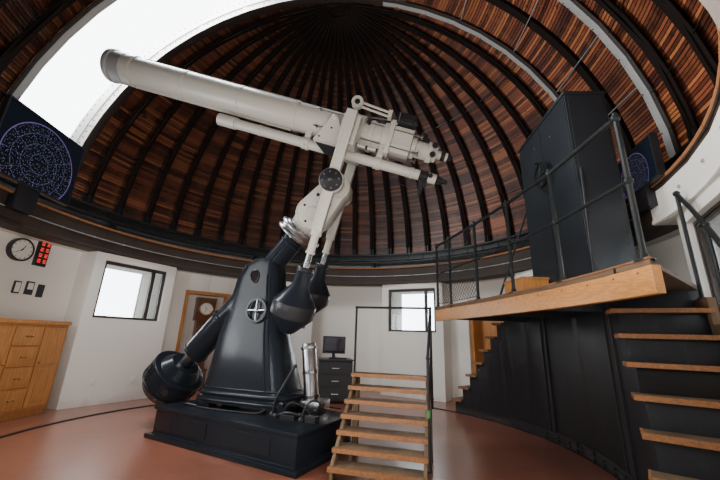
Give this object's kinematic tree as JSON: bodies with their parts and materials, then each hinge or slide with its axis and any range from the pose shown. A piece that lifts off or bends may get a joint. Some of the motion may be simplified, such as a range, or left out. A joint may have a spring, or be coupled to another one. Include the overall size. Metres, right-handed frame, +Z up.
{
  "type": "astronomical observatory building with rotating dome",
  "caption": "Round observatory with a boarded rotating dome, shuttered slit, large refractor on an iron pier, observing stair and steps.",
  "frame": {"origin": "ground level in the middle of the round drum", "axes": "+Z up; the open slit and the telescope look along -X; +Y is away from the picture's viewpoint"},
  "size_m": [10.16, 10.16, 8.3888],
  "materials": {
    "plaster": "matt lime plaster, cream white",
    "masonry": "terracotta brown screed floor on masonry",
    "fascia": "dark brown painted timber casing on the masonry ring",
    "dark_steel": "green black painted steel",
    "boards": "dark red brown varnished boards, zinc sheet outside",
    "rib_timber": "near black stained ribs",
    "white_steel": "white painted riveted steel",
    "zinc": "weathered light grey zinc",
    "ivory": "ivory enamel",
    "black_gloss": "blue black gloss enamel on castings",
    "steel": "polished steel",
    "pine": "honey varnished pine",
    "stair_timber": "worn bare treads",
    "black_paint": "satin black paint",
    "frame_dark": "dark bronze window frame",
    "dial_white": "off white dial in a black rim",
    "clock_wood": "dark walnut case",
    "screen": "black glass screen"
  },
  "bodies": {
    "building": {"floor_slab": "masonry", "door_lintel": "plaster", "entrance_casing": "pine", "clock_niche_casing": "pine", "tall_clock": "clock_wood", "ring_beam": "fascia", "dome_rail": "dark_steel", "cupboard": "pine", "wall_clock": "dial_white", "instrument_cabinet": "black_paint", "display_left": "screen", "display_right": "screen", "small_steps": "stair_timber", "floor_rail": "dark_steel", "pier_base": "black_paint", "pier": "black_gloss", "steel_column": "steel", "window_1": "frame_dark", "window_2": "frame_dark", "window_3": "frame_dark", "window_4": "frame_dark", "window_5": "frame_dark", "window_6": "frame_dark", "window_7": "frame_dark", "window_8": "frame_dark", "wall_quarter_1": "plaster", "wall_quarter_2": "plaster", "wall_quarter_3": "plaster", "wall_quarter_4": "plaster"},
    "dome": {"dome_ring_girder": "dark_steel", "shell_north": "boards", "shell_south": "boards", "shell_rear": "boards", "slit_arch_north": "white_steel", "slit_arch_south": "white_steel", "slit_end_cheek": "white_steel", "ribs_north": "rib_timber", "ribs_south": "rib_timber"},
    "shutter_north_leaf": {"shutter_north": "zinc"},
    "shutter_south_leaf": {"shutter_south": "zinc"},
    "door": {"entrance_door": "pine"},
    "observing_stair": {"stair_base": "black_paint", "lift_tower": "black_paint", "platform_deck": "stair_timber", "platform_beam": "pine", "platform_railing": "dark_steel", "right_flight": "stair_timber", "left_flight": "stair_timber", "flight_handrail": "dark_steel"},
    "polar_axis_body": {"polar_shaft": "steel", "polar_drum": "black_gloss", "polar_head": "ivory"},
    "tube_body": {"declination_axle": "steel", "near_balance_arm": "ivory", "far_balance_arm": "ivory", "main_tube": "ivory", "cradle": "ivory", "breech_box": "ivory", "finder_tube": "ivory", "motor_drum": "black_gloss"}
  },
  "joints": [
    {"name": "dome_rotation", "type": "hinge", "parent": "building", "child": "dome", "pos_m": [0, 0, 3.3], "axis": [0, 0, 1], "continuous": true},
    {"name": "shutter_north_slide", "type": "slide", "parent": "dome", "child": "shutter_north_leaf", "axis": [0, -1, 0], "range_m": [0, 0.66]},
    {"name": "shutter_south_slide", "type": "slide", "parent": "dome", "child": "shutter_south_leaf", "axis": [0, 1, 0], "range_m": [0, 0.66]},
    {"name": "entrance_door_hinge", "type": "hinge", "parent": "building", "child": "door", "pos_m": [3.86256, 2.96159, 0.3], "axis": [0, 0, -1], "range_deg": [0, 100]},
    {"name": "observing_stair_travel", "type": "hinge", "parent": "building", "child": "observing_stair", "pos_m": [0, 0, 0.3], "axis": [0, 0, 1], "range_deg": [-120, 75]},
    {"name": "polar_axis", "type": "hinge", "parent": "building", "child": "polar_axis_body", "pos_m": [0.325, -0.098, 3.49], "axis": [0.6449, -0.1947, 0.739], "range_deg": [-90, 45]},
    {"name": "declination_axis", "type": "hinge", "parent": "polar_axis_body", "child": "tube_body", "pos_m": [0.325, -0.098, 3.49], "axis": [0.007, 0.9685, 0.2491], "range_deg": [-8, 75]}
  ],
  "couplings": [
    {"joint": "shutter_south_slide", "follows": "shutter_north_slide", "ratio": 1}
  ]
}
